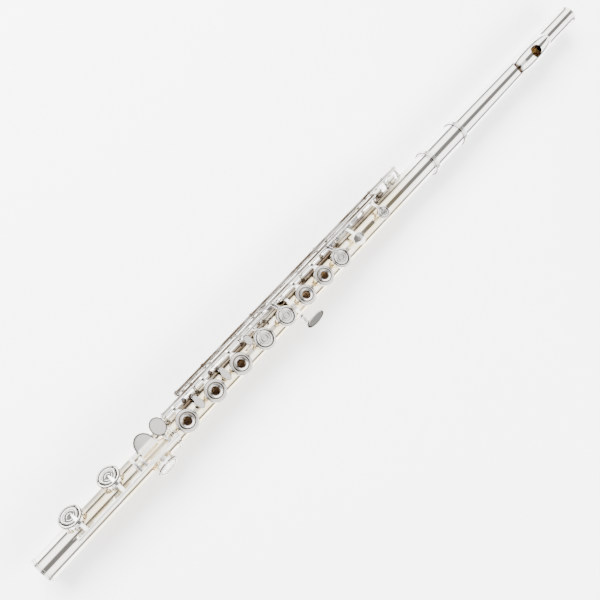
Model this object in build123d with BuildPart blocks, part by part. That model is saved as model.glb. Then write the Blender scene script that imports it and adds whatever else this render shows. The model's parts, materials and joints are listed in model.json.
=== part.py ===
from build123d import *
import os
from math import atan2, cos, degrees, hypot, radians, sin

# Concert flute with a C foot, in three joints that plug together: foot, body and head.
# X runs along the bore from the foot's open end to the crown, and +Z is the side of the main keys.
# +Y is the player's side, where the rods are. The origin is the centre of the foot's open end.
# An angle round the tube is in degrees from +Z towards +Y. Millimetres throughout.

# ---- fits and gaps ----
running_gap = 0.03          # radial gap of every bearing, tenon and stopper
end_gap = 0.15              # gap between neighbours along a rod
seat_gap = 0.03             # gap left between a closed pad and its tone hole

# ---- tubes ----
bore_radius = 9.5
tube_wall = 0.4
tube_radius = bore_radius + tube_wall
foot_tenon_start = 113.5    # lower end of the body tube, inside the foot's socket
foot_socket_end = 125.0
socket_wall = 0.6
body_tube_end = 447.0
barrel_start = 435.6
barrel_end = 481.0
barrel_wall = 0.8
head_tenon_start = 449.0
head_taper_start = 484.0
head_taper_end = 566.0
head_tube_end = 652.0
crown_bore_radius = 8.6
crown_tube_radius = crown_bore_radius + tube_wall
taper_swell = 0.06          # how far the head's taper bulges from a straight cone

# ---- rings ----
foot_ring_height = 0.7
foot_ring_width = 3.0
socket_ring_height = 0.8
socket_ring_width = 4.0
lower_barrel_ring_height = 1.2
upper_barrel_ring_height = 0.85
barrel_ring_width = 4.2

# ---- lip plate, embouchure and stopper ----
embouchure_x = 595.6
embouchure_length = 12.2
embouchure_width = 10.4
embouchure_corner = 4.6
lip_half_length = 26.0
lip_height = 4.9            # from the tube's top to the plate's top, at the hole
lip_axis_height = 4.4       # the plate is turned about this line above the tube's axis
lip_wall = 0.8
riser_wall = 1.3
stopper_distance = 17.0     # hole's centre to the stopper's face
stopper_plate_thickness = 1.2
cork_length = 15.0
stopper_rod_radius = 2.0
stopper_rod_reach = 3.6     # how far its rod goes past the head tube's end, into the crown
crown_length = 14.0
crown_plug_length = 5.0
crown_ring_height = 0.9
crown_ring_width = 3.0
crown_hole_depth = 8.0

# ---- tone holes, cups and pads ----
rim_height = 2.1            # tone hole's rim above the tube
small_rim_height = 1.7
rim_roll = 0.7              # thickness of the rolled rim
chimney_wall = 0.4
pad_proud = 0.3             # pad's face below the cup's rim
cup_wall = 0.5
cup_depth = 2.5
cup_crown = 0.7
pad_gap = 0.05              # between a pad and the wall round it
perforation_radius = 3.2
perforation_wall = 0.4
foot_cup_radius = 8.65
right_cup_radius = 8.4
left_cup_radius = 7.9
small_cup_radius = 5.2
touch_thickness = 1.1
hole_inset = 1.7            # a tone hole's radius is the cup's radius less this

# ---- rods and posts ----
rod_radius = 1.0
hinge_radius = 1.65
post_width = 3.2            # along the rod, at the post's ball
post_ball_radius = 2.3
post_base_radius = 1.9
post_neck_radius = 1.1
rib_thickness = 0.5
spring_radius = 0.3
screw_length = 1.5

main_rod = (tube_radius + 5.1, tube_radius - 0.9)       # y and z of each rod
trill_rod = (tube_radius + 8.1, 1.5)
thumb_rod = (tube_radius + 6.74, -5.4)
foot_rod = (-1.5, tube_radius + 5.1)

foot_cup_angle = 58.0
d_sharp_angle = -60.0
g_sharp_angle = 134.0
thumb_angle = 150.0
trill_angle = 108.0

main_opening = -9.0         # turn of an open key at rest, about +X
foot_opening = 9.8
thumb_opening = 10.8

low_c_x = 37.0
low_c_sharp_x = 72.0
d_sharp_x = 105.0
g_sharp_x = 242.9
thumb_x = 330.0
c_touch_x = 331.5
c_sharp_x = 364.0
d_trill_x = 383.0
d_sharp_trill_x = 401.0

foot_post_xs = (32.0, 65.0, 98.0, 123.0)
main_post_xs = (127.0, 157.0, 206.0, 231.0, 277.0, 319.0, 371.0)
trill_end_post_xs = (146.5, 174.5, 392.0, 407.0)
trill_sleeve_post_xs = (228.0, 304.0, 374.5)
thumb_post_xs = (319.0, 361.0)

lower_g_hinge = (236.8, 251.7)
upper_g_hinge_start = 256.4
e_hinge_end = 177.5
a_hinge_end = 297.0

# Main keys: name, tone hole's x, cup's radius, perforated, and where the hinge tube starts and ends.
half_post = post_width / 2
after = {x: x + half_post + end_gap for x in main_post_xs}
before = {x: x - half_post - end_gap for x in main_post_xs}
main_keys = (
    ("d", 135.5, right_cup_radius, True, after[127.0], before[157.0]),
    ("e", 164.7, right_cup_radius, True, after[157.0], e_hinge_end),
    ("f", 192.2, right_cup_radius, True, e_hinge_end + end_gap, before[206.0]),
    ("f_sharp", 218.3, right_cup_radius, False, after[206.0], before[231.0]),
    ("lower_g", 242.9, left_cup_radius, False, *lower_g_hinge),
    ("upper_g", 266.2, left_cup_radius, True, upper_g_hinge_start, before[277.0]),
    ("a", 288.1, left_cup_radius, True, after[277.0], a_hinge_end),
    ("b_flat", 308.9, left_cup_radius, False, a_hinge_end + end_gap, before[319.0]),
)

bore_line = (0.0, 0.0)      # the tube's own axis, given as a rod is

os.makedirs("parts", exist_ok=True)


def save(piece, label):
    """Labels a finished piece and writes it as its own STEP file."""
    piece.part.label = label
    export_step(piece.part, f"parts/{label}.step")


def radial_plane(x, angle, height=0.0):
    """A plane square to the tube's radius: its x is along the tube, its y round it."""
    outward = (0, sin(radians(angle)), cos(radians(angle)))
    origin = (x, height * outward[1], height * outward[2])
    return Plane(origin=origin, x_dir=(1, 0, 0), z_dir=outward)


def upright(plane):
    """The plane standing on another: same x, with its y along the other's normal."""
    return Plane(origin=plane.origin, x_dir=plane.x_dir, z_dir=-plane.y_dir)


def rod_plane(rod):
    """The plane through a rod's line whose x is along it and whose y is +Z."""
    return Plane(origin=(0, rod[0], rod[1]), x_dir=(1, 0, 0), z_dir=(0, -1, 0))


def swung(plane, rod, angle):
    """A plane turned about a rod's line."""
    there = Location((0, rod[0], rod[1]))
    back = Location((0, -rod[0], -rod[1]))
    return Plane(there * Location((0, 0, 0), (angle, 0, 0)) * back * plane.location)


def shaft(rod, radius, start, end, mode=Mode.ADD):
    """A cylinder along X on a rod's line."""
    with BuildSketch(Plane.YZ.offset(start)) as disc:
        with Locations(rod):
            Circle(radius)
    extrude(disc.sketch, amount=end - start, mode=mode)


def beads(start, width, count, inner, height):
    """A turned ring of round beads side by side on a tube of the inner radius."""
    pitch = width / count
    foot_radius = inner + height * 0.45
    with BuildSketch(Plane.XZ) as profile:
        with BuildLine():
            Line((start, inner), (start, foot_radius))
            for index in range(count):
                left = start + index * pitch
                ThreePointArc(
                    (left, foot_radius),
                    (left + pitch / 2, inner + height),
                    (left + pitch, foot_radius),
                )
            Polyline((start + width, foot_radius), (start + width, inner), (start, inner))
        make_face()
    revolve(profile.sketch, axis=Axis.X)


def tone_hole(x, angle, radius, rim):
    """Draws a tone hole's chimney, with its rim rolled outwards."""
    top = rim - rim_roll / 2
    with BuildSketch(upright(radial_plane(x, angle))) as profile:
        with BuildLine():
            Polyline((radius, 0), (radius, top))
            ThreePointArc((radius, top), (radius + rim_roll / 2, rim), (radius + rim_roll, top))
            Polyline(
                (radius + rim_roll, top),
                (radius + chimney_wall, top - rim_roll / 2),
                (radius + chimney_wall, 0),
                (radius, 0),
            )
        make_face()
    revolve(profile.sketch, axis=Axis(radial_plane(x, angle).origin, radial_plane(x, angle).z_dir))


def drilling(x, angle, radius, mode=Mode.SUBTRACT):
    """Opens the tube's wall under a tone hole."""
    with BuildSketch(radial_plane(x, angle)) as disc:
        Circle(radius)
    extrude(disc.sketch, amount=tube_radius + rim_height, mode=mode)


def post(x, rod, base_radius, hole_radius):
    """A turned post that stands on the tube and ends in a ball round a rod."""
    angle = degrees(atan2(rod[0], rod[1]))
    reach = hypot(rod[0], rod[1])
    stem = radial_plane(x, angle)
    with BuildSketch(upright(stem)) as profile:
        with BuildLine():
            Polyline(
                (0, base_radius - rib_thickness * 2),
                (post_base_radius, base_radius - rib_thickness * 2),
                (post_base_radius, base_radius + 0.6),
                (post_neck_radius, base_radius + 1.8),
                (post_neck_radius, reach),
                (0, reach),
                (0, base_radius - rib_thickness * 2),
            )
        make_face()
    revolve(profile.sketch, axis=Axis(stem.origin, stem.z_dir))
    with BuildSketch(rod_plane(rod)) as ball:
        with BuildLine():
            Polyline((x - half_post, 0), (x - half_post, hinge_radius))
            ThreePointArc(
                (x - half_post, hinge_radius), (x, post_ball_radius), (x + half_post, hinge_radius)
            )
            Polyline((x + half_post, hinge_radius), (x + half_post, 0), (x - half_post, 0))
        make_face()
    revolve(ball.sketch, axis=Axis((0, rod[0], rod[1]), (1, 0, 0)))
    shaft(rod, hole_radius, x - half_post, x + half_post, Mode.SUBTRACT)
    shaft(bore_line, base_radius, x - half_post * 2, x + half_post * 2, Mode.SUBTRACT)


def strap(start, end, radius, low_angle, high_angle):
    """A curved strap on the tube, between two angles, with rounded ends."""
    middle = (low_angle + high_angle) / 2
    half_width = (radius + rib_thickness) * sin(radians((high_angle - low_angle) / 2))
    with BuildSketch(radial_plane(0, middle)) as outline:
        with Locations(((start + end) / 2, 0)):
            SlotOverall(end - start, half_width * 2)
    extrude(outline.sketch, amount=radius * 2)
    shaft(bore_line, radius, start - 1, end + 1, Mode.SUBTRACT)
    shaft(bore_line, radius + rib_thickness, start - 1, end + 1, Mode.INTERSECT)


def arm(plane, stations, x=0.0):
    """A forged arm through stations of (across, height, width, thickness) over a key's plane."""
    sections = []
    for across, height, width, thickness in stations:
        local = Plane(origin=(x, across, height), x_dir=(1, 0, 0), z_dir=(0, 1, 0))
        with BuildSketch(Plane(plane.location * local.location)) as section:
            RectangleRounded(width, thickness, min(width, thickness) * 0.3)
        sections.append(section.sketch)
    loft(sections=sections, ruled=True)


def band(start, end, inner, thickness, low_angle, high_angle):
    """A curved bar that follows the tube's round between two angles."""
    outer = inner + thickness
    middle = radians((low_angle + high_angle) / 2)
    low, high = radians(low_angle), radians(high_angle)
    with BuildSketch(Plane.YZ.offset(start)) as profile:
        with BuildLine():
            ThreePointArc(
                (outer * sin(low), outer * cos(low)),
                (outer * sin(middle), outer * cos(middle)),
                (outer * sin(high), outer * cos(high)),
            )
            Line((outer * sin(high), outer * cos(high)), (inner * sin(high), inner * cos(high)))
            ThreePointArc(
                (inner * sin(high), inner * cos(high)),
                (inner * sin(middle), inner * cos(middle)),
                (inner * sin(low), inner * cos(low)),
            )
            Line((inner * sin(low), inner * cos(low)), (outer * sin(low), outer * cos(low)))
        make_face()
    extrude(profile.sketch, amount=end - start)


def closed_cup(plane, radius):
    """A plain cup: a skirt round the pad and a top with a rim, a bead ring and a boss."""
    top = cup_depth + cup_crown
    field = top - 0.25
    ring = radius * 0.6
    with BuildSketch(upright(plane)) as profile:
        with BuildLine():
            Polyline((0, cup_depth), (radius - cup_wall, cup_depth), (radius - cup_wall, 0), (radius, 0))
            Line((radius, 0), (radius, top - 0.6))
            ThreePointArc((radius, top - 0.6), (radius - 0.2, top - 0.15), (radius - 0.7, top))
            ThreePointArc((radius - 0.7, top), (radius - 1.1, top - 0.08), (radius - 1.4, field))
            Line((radius - 1.4, field), (ring + 0.4, field))
            ThreePointArc((ring + 0.4, field), (ring, field + 0.3), (ring - 0.4, field))
            Polyline((ring - 0.4, field), (0, field), (0, cup_depth))
        make_face()
    revolve(profile.sketch, axis=Axis(plane.origin, plane.z_dir))


def open_cup(plane, radius):
    """A perforated cup: a skirt, a raised rim and a short tube through the pad."""
    top = cup_depth + cup_crown
    field = top - 0.3
    inner = perforation_radius
    sleeve = inner + perforation_wall
    collar = radius * 0.74
    with BuildSketch(upright(plane)) as profile:
        with BuildLine():
            Polyline(
                (inner, 0),
                (sleeve, 0),
                (sleeve, cup_depth),
                (radius - cup_wall, cup_depth),
                (radius - cup_wall, 0),
                (radius, 0),
                (radius, top - 0.6),
            )
            ThreePointArc((radius, top - 0.6), (radius - 0.2, top - 0.15), (radius - 0.7, top))
            ThreePointArc((radius - 0.7, top), (radius - 1.1, top - 0.1), (radius - 1.3, field))
            Line((radius - 1.3, field), (collar, field))
            ThreePointArc((collar, field), (collar - 0.45, top + 0.1), (collar - 0.9, top + 0.15))
            Line((collar - 0.9, top + 0.15), (inner + 0.6, top - 0.1))
            ThreePointArc((inner + 0.6, top - 0.1), (inner + 0.2, top - 0.3), (inner, top - 0.6))
            Line((inner, top - 0.6), (inner, 0))
        make_face()
    revolve(profile.sketch, axis=Axis(plane.origin, plane.z_dir))


def pad(name, plane, radius, perforated):
    """A felt pad that fills its cup and stands a little proud of the rim."""
    with BuildPart() as cushion:
        with BuildSketch(plane.offset(-pad_proud)):
            Circle(radius - cup_wall - pad_gap)
            if perforated:
                Circle(perforation_radius + perforation_wall + pad_gap, mode=Mode.SUBTRACT)
        extrude(amount=cup_depth + pad_proud)
    save(cushion, f"{name}_pad")


def key_plane(x, angle, rod, opening, rim=rim_height):
    """A cup's rim plane with the key at rest, and its rod's place across and above that plane."""
    height = tube_radius + rim + seat_gap + pad_proud
    closed = radial_plane(x, angle, height)
    turn = radians(angle)
    across = rod[0] * cos(turn) - rod[1] * sin(turn)
    above = rod[0] * sin(turn) + rod[1] * cos(turn) - height
    return swung(closed, rod, opening), across, above


def y_arm(plane, across, above, radius):
    """The arm of a perforated cup: narrow on the hinge, spread where it grips the cup's side."""
    side = 1 if across > 0 else -1
    arm(
        plane,
        (
            (across, above + 0.3, 2.6, 2.2),
            (across - side * 2.2, above * 0.3 + 0.6, 2.6, 1.6),
            (side * (radius + 1.2), 1.7, 3.2, 1.5),
            (side * (radius - 0.3), 2.1, 6.4, 1.4),
        ),
    )


def pointed_arm(plane, across, above, radius, x=0.0):
    """The arm of a plain cup: it runs over the top and ends in a point at the middle."""
    side = 1 if across > 0 else -1
    top = cup_depth + cup_crown
    arm(
        plane,
        (
            (across, above + 0.3, 2.8, 2.2),
            (side * (radius + 2.4), above * 0.2 + 1.6, 2.6, 1.6),
            (side * (radius - 0.6), top, 3.0, 1.4),
            (side * 0.4, top, 0.9, 0.8),
        ),
        x,
    )


def dished_touch(plane, radius, thickness=1.3):
    """A round finger touch, hollowed on top, standing on a plane."""
    with BuildSketch(upright(plane)) as profile:
        with BuildLine():
            Polyline((1.0, thickness * 0.55), (0, thickness * 0.55), (0, 0), (radius - 0.6, 0))
            ThreePointArc((radius - 0.6, 0), (radius, thickness * 0.5), (radius - 0.5, thickness))
            ThreePointArc(
                (radius - 0.5, thickness), (radius * 0.6, thickness * 0.68), (1.0, thickness * 0.55)
            )
        make_face()
    revolve(profile.sketch, axis=Axis(plane.origin, plane.z_dir))


def plate(plane, outline_size, thickness, rotation=0.0):
    """A thin oval touch, softened at its edge, standing on a plane."""
    half_length, half_width = outline_size
    with BuildSketch(plane) as outline:
        Ellipse(half_length, half_width, rotation=rotation)
    with BuildPart(mode=Mode.PRIVATE) as touch:
        extrude(outline.sketch, amount=thickness)
        fillet(touch.edges().filter_by(GeomType.LINE, reverse=True), thickness * 0.3)
    return touch.part


def hinge(rod, start, end):
    """The outside of a hinge tube. Its bore is opened last, by bush."""
    shaft(rod, hinge_radius, start, end)


def bush(rod, start, end):
    """Opens a hinge tube's bore for its rod to turn in."""
    shaft(rod, rod_radius + running_gap, start, end, Mode.SUBTRACT)


# ======================= body joint =======================

body_holes = [(x, 0.0, radius - hole_inset, rim_height) for _, x, radius, _, _, _ in main_keys]
body_holes += [
    (g_sharp_x, g_sharp_angle, left_cup_radius - hole_inset, rim_height),
    (thumb_x, thumb_angle, left_cup_radius - hole_inset, rim_height),
    (c_sharp_x, 0.0, small_cup_radius - hole_inset, small_rim_height),
    (d_trill_x, trill_angle, small_cup_radius - hole_inset, small_rim_height),
    (d_sharp_trill_x, trill_angle, small_cup_radius - hole_inset, small_rim_height),
]

with BuildPart() as body_tube:
    shaft(bore_line, tube_radius, foot_tenon_start, body_tube_end)
    for x, angle, radius, rim in body_holes:
        tone_hole(x, angle, radius, tube_radius + rim)
    shaft(bore_line, bore_radius, foot_tenon_start, body_tube_end, Mode.SUBTRACT)
    for x, angle, radius, rim in body_holes:
        drilling(x, angle, radius)
save(body_tube, "body_tube")

barrel_radius = tube_radius + barrel_wall
with BuildPart() as barrel:
    shaft(bore_line, barrel_radius, barrel_start, barrel_end)
    shaft(bore_line, tube_radius, barrel_start, body_tube_end, Mode.SUBTRACT)
    shaft(bore_line, tube_radius + running_gap, body_tube_end, barrel_end, Mode.SUBTRACT)
save(barrel, "barrel")

with BuildPart() as barrel_rings:
    beads(barrel_start, barrel_ring_width, 3, barrel_radius, lower_barrel_ring_height)
    beads(barrel_end - barrel_ring_width, barrel_ring_width, 3, barrel_radius, upper_barrel_ring_height)
save(barrel_rings, "barrel_rings")

rib_low_angle, rib_high_angle = 48.0, 96.0
rib_radius = tube_radius + rib_thickness
with BuildPart() as body_rib:
    strap(foot_socket_end + 0.5, 411.0, tube_radius, rib_low_angle, rib_high_angle)
    for x, angle, radius, rim in body_holes:
        if angle != 0:
            drilling(x, angle, radius + chimney_wall)
save(body_rib, "body_rib")

# Needle springs stand in the posts, under the rod: post's x and signed length.
main_springs = (
    (127.0, 20.0),
    (157.0, 16.0),
    (206.0, -18.0),
    (206.0, 18.0),
    (231.0, 15.0),
    (277.0, -15.0),
    (277.0, 15.0),
    (319.0, -15.0),
    (319.0, 20.0),
)
foot_springs = ((32.0, 16.0), (65.0, 16.0), (123.0, -14.0))


def needle_springs(springs, rod, drop, mode=Mode.ADD):
    """Spring wires along a rod, a drop nearer to the tube than it."""
    reach = hypot(rod[0], rod[1])
    line = (rod[0] * (reach - drop) / reach, rod[1] * (reach - drop) / reach)
    for x, length in springs:
        shaft(line, spring_radius, min(x, x + length), max(x, x + length), mode)


spring_drop = 3.0
with BuildPart() as body_posts:
    for x in main_post_xs:
        post(x, main_rod, rib_radius, rod_radius)
    for x in trill_end_post_xs:
        post(x, trill_rod, rib_radius, rod_radius + running_gap)
    for x in trill_sleeve_post_xs:
        post(x, trill_rod, rib_radius, hinge_radius + running_gap)
    for x in thumb_post_xs:
        post(x, thumb_rod, tube_radius, rod_radius)
    needle_springs(main_springs, main_rod, spring_drop, Mode.SUBTRACT)
save(body_posts, "body_posts")

with BuildPart() as body_springs:
    needle_springs(main_springs, main_rod, spring_drop)
save(body_springs, "body_springs")

with BuildPart() as main_steel:
    shaft(main_rod, rod_radius, main_post_xs[0] - half_post - 0.4, main_post_xs[-1] + half_post + 0.4)
save(main_steel, "main_rod")

with BuildPart() as thumb_steel:
    shaft(thumb_rod, rod_radius, thumb_post_xs[0] - half_post, thumb_post_xs[1] + half_post)
save(thumb_steel, "thumb_rod")


def pivot_screw(x, rod, direction):
    """A pivot screw in a post's outer half, with a slotted head; direction is its head's side."""
    outer = x + direction * (half_post + 0.7)
    inner = x + direction * (half_post - screw_length)
    shaft(rod, rod_radius + running_gap, min(outer, inner), max(outer, inner))
    slot = Box(0.8, 0.4, 3.0, mode=Mode.PRIVATE)
    add(slot.moved(Location((outer, rod[0], rod[1]))), mode=Mode.SUBTRACT)


with BuildPart() as trill_pivot_screws:
    pivot_screw(trill_end_post_xs[0], trill_rod, -1)
    pivot_screw(trill_end_post_xs[-1], trill_rod, 1)
save(trill_pivot_screws, "trill_pivot_screws")

# ======================= main keys =======================

for name, x, radius, perforated, start, end in main_keys:
    plane, across, above = key_plane(x, 0.0, main_rod, main_opening)
    with BuildPart() as key:
        hinge(main_rod, start, end)
        if perforated:
            open_cup(plane, radius)
            y_arm(plane, across, above, radius)
        else:
            closed_cup(plane, radius)
            pointed_arm(plane, across, above, radius)
        bush(main_rod, start, end)
    save(key, f"{name}_key")
    pad(name, plane, radius, perforated)


# The C key: the first finger's dished touch and, on the same hinge tube, the small C sharp cup.
c_touch_radius = 5.45
plane, across, above = key_plane(c_sharp_x, 0.0, main_rod, main_opening, small_rim_height)
touch_offset = c_touch_x - c_sharp_x
touch_plane = Plane(plane.location * Location((touch_offset, 0, cup_depth)))
with BuildPart() as c_key:
    hinge(main_rod, after[319.0], before[371.0])
    closed_cup(plane, small_cup_radius)
    pointed_arm(plane, across, above, small_cup_radius)
    dished_touch(touch_plane, c_touch_radius)
    arm(
        plane,
        (
            (across, above + 0.3, 2.8, 2.2),
            (c_touch_radius + 3.6, above * 0.2 + 1.6, 2.6, 1.6),
            (c_touch_radius - 0.9, cup_depth + 0.5, 3.4, 0.8),
        ),
        touch_offset,
    )
    bush(main_rod, after[319.0], before[371.0])
save(c_key, "c_key")
pad("c", plane, small_cup_radius, False)

# The G sharp key: its cup is on the back of the tube and its touch on the far side.
g_hinge_start = lower_g_hinge[1] + end_gap
g_hinge_end = upper_g_hinge_start - end_gap
g_arm_inner, g_arm_thickness = tube_radius + 3.1, 1.4
g_strap_start, g_strap_end = 252.2, 254.6
g_lug_angle = 59.0
g_strap_end_angle = -58.0
g_touch_centre = (261.5, -18.5, tube_radius - 2.4)
g_touch_tilt = 35.0         # how far the touch leans outwards
g_arm_start = g_sharp_x + left_cup_radius - cup_wall + pad_gap
plane, across, above = key_plane(g_sharp_x, g_sharp_angle, main_rod, 0.0)
with BuildPart() as g_sharp_key:
    hinge(main_rod, g_hinge_start, g_hinge_end)
    closed_cup(plane, left_cup_radius)
    band(g_arm_start, g_strap_end, g_arm_inner, g_arm_thickness, g_lug_angle - 7, g_sharp_angle)
    band(g_strap_start, g_strap_end, g_arm_inner + 0.5, g_arm_thickness, g_strap_end_angle, g_lug_angle + 1)
    with BuildSketch(radial_plane((g_strap_start + g_strap_end) / 2, g_lug_angle, g_arm_inner + 0.6)) as lug:
        Rectangle(g_strap_end - g_strap_start, 3.0)
    extrude(lug.sketch, amount=3.0)
    arm(
        radial_plane((g_strap_start + g_strap_end) / 2, 0.0),
        (
            (-11.0, tube_radius - 1.3, g_strap_end - g_strap_start, 1.4),
            (-15.0, tube_radius - 1.0, 2.8, 1.4),
            (g_touch_centre[1], g_touch_centre[2] + 0.5, 3.6, 1.2),
        ),
        1.2,
    )
    touch_face = Location(g_touch_centre) * Location((0, 0, 0), (g_touch_tilt, 0, 0))
    add(plate(Plane(touch_face), (9.0, 4.2), touch_thickness))
    bush(main_rod, g_hinge_start, g_hinge_end)
save(g_sharp_key, "g_sharp_key")
pad("g_sharp", plane, left_cup_radius, False)

# The B flat shake key: a small touch by the F key, on a bar that runs over the F sharp hinge.
shake_start, shake_end = after[231.0], lower_g_hinge[0] - end_gap
shake_bar = (main_rod[0] - 1.6, main_rod[1] + 6.6)
shake_bar_radius = 0.8
shake_bar_start, shake_bar_end = 209.0, 235.4
with BuildPart() as b_flat_shake_key:
    hinge(main_rod, shake_start, shake_end)
    shaft(shake_bar, shake_bar_radius, shake_bar_start, shake_bar_end)
    with BuildSketch(Plane.XY.offset(shake_bar[1] - shake_bar_radius / 2)) as touch:
        with Locations((shake_bar_start - 0.4, shake_bar[0] - 4.4)):
            Ellipse(2.9, 4.4)
    extrude(touch.sketch, amount=1.0)
    with BuildSketch(Plane.YZ.offset(shake_start + 0.1)) as riser_arm:
        with BuildLine():
            Polyline(
                (shake_bar[0] - 0.7, shake_bar[1] + 0.6),
                (shake_bar[0] + 1.0, shake_bar[1] + 0.6),
                (main_rod[0] + 1.4, main_rod[1] + 1.0),
                (main_rod[0] - 1.4, main_rod[1] + 0.4),
                (shake_bar[0] - 0.7, shake_bar[1] + 0.6),
            )
        make_face()
    extrude(riser_arm.sketch, amount=2.2)
    bush(main_rod, shake_start, shake_end)
save(b_flat_shake_key, "b_flat_shake_key")

# The trill keys: the D sharp key on a long steel, and the D key on the sleeve round it.
stem_inner, stem_thickness, stem_width = tube_radius + 3.1, 1.4, 2.8
lug_angle = 85.0


def trill_touch(x):
    """A trill touch: a stem that passes under the main rod to a teardrop between two cups."""
    band(x - stem_width / 2, x + stem_width / 2, stem_inner, stem_thickness, 14.0, lug_angle + 1)
    with BuildSketch(radial_plane(x, lug_angle, stem_inner + 0.6)) as lug:
        Rectangle(stem_width, 2.4)
    extrude(lug.sketch, amount=4.2)
    with BuildSketch(Plane.XY.offset(stem_inner + 0.5)) as drop:
        with Locations((x, 3.2)):
            Ellipse(2.9, 5.0)
        with Locations((x, 6.6)):
            Ellipse(1.9, 4.6)
    extrude(drop.sketch, amount=touch_thickness)


to_end = half_post + end_gap        # from a post's middle to the hinge tube beside it
trill_keys = (
    (
        "d_sharp_trill",
        151.0,
        d_sharp_trill_x,
        trill_end_post_xs[2] + to_end,
        trill_end_post_xs[3] - to_end,
    ),
    ("d_trill", 179.0, d_trill_x, trill_end_post_xs[1] + to_end, trill_end_post_xs[2] - to_end),
)
for name, touch_x, cup_x, start, end in trill_keys:
    plane, across, above = key_plane(cup_x, trill_angle, trill_rod, 0.0, small_rim_height)
    with BuildPart() as key:
        hinge(trill_rod, start, end)
        if name == "d_sharp_trill":
            hinge(trill_rod, trill_end_post_xs[0] + to_end, trill_end_post_xs[1] - to_end)
        closed_cup(plane, small_cup_radius)
        arm(
            plane,
            (
                (across, above + 0.2, 2.8, 2.2),
                (across + 2.6, cup_depth + 1.7, 2.6, 1.8),
                (-1.2, cup_depth + 0.7, 2.0, 1.2),
                (1.0, cup_depth + 0.6, 0.9, 0.8),
            ),
        )
        trill_touch(touch_x)
        if name == "d_sharp_trill":
            steel_start = trill_end_post_xs[0] - half_post + screw_length + end_gap
            steel_end = trill_end_post_xs[-1] + half_post - screw_length - end_gap
            shaft(trill_rod, rod_radius, steel_start, steel_end)
        else:
            bush(trill_rod, start, end)
    save(key, f"{name}_key")
    pad(name, plane, small_cup_radius, False)

# The thumb keys, underneath: the B key's cup and touch, and the B flat lever beside it.
thumb_b_end = 345.0
plane, across, above = key_plane(thumb_x, thumb_angle, thumb_rod, thumb_opening)
with BuildPart() as thumb_b_key:
    start = thumb_post_xs[0] + half_post + end_gap
    hinge(thumb_rod, start, thumb_b_end)
    closed_cup(plane, left_cup_radius)
    pointed_arm(plane, across, above, left_cup_radius)
    thumb_touch_x = 344.6
    arm(
        plane,
        ((across, above, 3.0, 2.2), (across + 2.4, 2.2, 3.0, 1.6), (-3.0, 2.6, 4.0, 1.2)),
        thumb_touch_x - thumb_x - 3.0,
    )
    touch_face = plane.location * Location((thumb_touch_x - thumb_x, 0, 2.2))
    add(plate(Plane(touch_face), (5.6, 8.0), touch_thickness))
    bush(thumb_rod, start, thumb_b_end)
save(thumb_b_key, "thumb_b_key")
pad("thumb_b", plane, left_cup_radius, False)

with BuildPart() as thumb_b_flat_lever:
    start = thumb_b_end + end_gap
    end = thumb_post_xs[1] - half_post - end_gap
    hinge(thumb_rod, start, end)
    lever_x = 355.6
    arm(
        plane,
        ((across, above, 3.0, 2.2), (across + 2.4, 2.2, 3.0, 1.6), (-3.0, 2.6, 3.6, 1.2)),
        lever_x - thumb_x,
    )
    touch_face = plane.location * Location((lever_x - thumb_x, 0, 2.2))
    add(plate(Plane(touch_face), (4.4, 7.0), touch_thickness))
    bush(thumb_rod, start, end)
save(thumb_b_flat_lever, "thumb_b_flat_lever")

# ======================= head joint =======================

taper_middle = (head_taper_start + head_taper_end) / 2


def head_outline(radius_start, radius_end):
    """The head tube's lathe outline, closed on the axis, for the outside or the bore."""
    with BuildSketch(Plane.XZ) as profile:
        with BuildLine():
            Polyline(
                (head_taper_start, radius_start),
                (head_tenon_start, radius_start),
                (head_tenon_start, 0),
                (head_tube_end, 0),
                (head_tube_end, radius_end),
                (head_taper_end, radius_end),
            )
            ThreePointArc(
                (head_taper_end, radius_end),
                (taper_middle, (radius_start + radius_end) / 2 + taper_swell),
                (head_taper_start, radius_start),
            )
        make_face()
    return profile.sketch


def embouchure(grow=0.0):
    """The embouchure hole's rounded outline, grown evenly, on a plane above the head tube."""
    with BuildSketch(Plane.XY) as outline:
        with Locations((embouchure_x, 0)):
            RectangleRounded(
                embouchure_length + 2 * grow, embouchure_width + 2 * grow, embouchure_corner + grow
            )
    return outline.sketch


def lip_dome(wall=0.0):
    """The lip plate's outside, or its inside a wall lower: an oval turned about a raised line."""
    base = crown_tube_radius - lip_axis_height
    half_length = lip_half_length - wall
    crest = lip_height - wall
    with BuildSketch(Plane.XZ) as profile:
        with BuildLine():
            EllipticalCenterArc(
                (embouchure_x, lip_axis_height + base), half_length, crest, arc_size=180
            )
            Polyline(
                (embouchure_x - half_length, lip_axis_height + base),
                (embouchure_x - half_length, lip_axis_height),
                (embouchure_x + half_length, lip_axis_height),
                (embouchure_x + half_length, lip_axis_height + base),
            )
        make_face()
    with BuildPart(mode=Mode.PRIVATE) as dome:
        revolve(profile.sketch, axis=Axis((0, 0, lip_axis_height), (1, 0, 0)))
    return dome.part


with BuildPart() as head_tube:
    revolve(head_outline(tube_radius, crown_tube_radius), axis=Axis.X)
    revolve(head_outline(bore_radius, crown_bore_radius), axis=Axis.X, mode=Mode.SUBTRACT)
    extrude(embouchure(), amount=tube_radius, mode=Mode.SUBTRACT)
save(head_tube, "head_tube")

with BuildPart() as lip_plate:
    add(lip_dome())
    add(lip_dome(lip_wall), mode=Mode.SUBTRACT)
    shaft(bore_line, crown_tube_radius, head_taper_start, head_tube_end, Mode.SUBTRACT)
    extrude(embouchure(), amount=2 * tube_radius, mode=Mode.SUBTRACT)
save(lip_plate, "lip_plate")

with BuildPart() as riser:
    extrude(embouchure(riser_wall), amount=2 * tube_radius)
    extrude(embouchure(), amount=2 * tube_radius, mode=Mode.SUBTRACT)
    add(lip_dome(lip_wall), mode=Mode.INTERSECT)
    shaft(bore_line, crown_tube_radius, head_taper_start, head_tube_end, Mode.SUBTRACT)
save(riser, "riser")

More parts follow.
